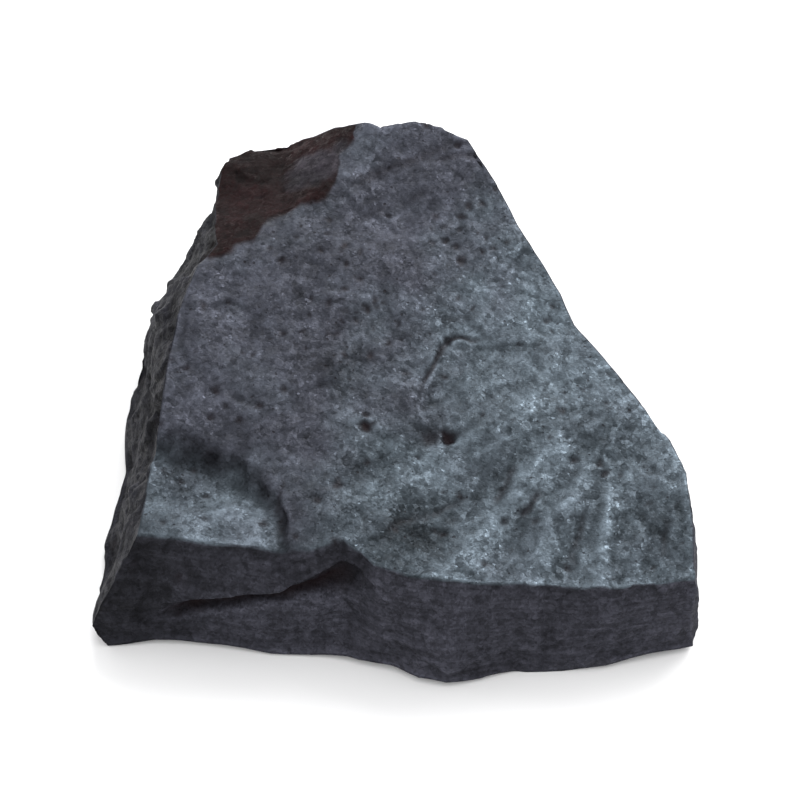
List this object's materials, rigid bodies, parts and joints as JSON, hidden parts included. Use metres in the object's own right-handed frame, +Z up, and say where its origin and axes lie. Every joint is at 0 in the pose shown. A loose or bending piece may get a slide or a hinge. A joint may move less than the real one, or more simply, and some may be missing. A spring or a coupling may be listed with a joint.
{
  "type": "raw hematite stone",
  "caption": "Low wedge of raw hematite ore with one broad sloping fracture face, a steep broken wall and a flat underside to rest on.",
  "frame": {"origin": "centre of the stone's bounding box, on the surface that the stone rests on", "axes": "+Z up; +X to the right along the front wall, the longest way; +Y from the front wall to the brown facet at the back"},
  "size_m": [0.0356, 0.0348, 0.0123],
  "materials": {
    "hematite_ore": "satin"
  },
  "bodies": {
    "root": {"hematite_stone": "hematite_ore"}
  },
  "joints": []
}
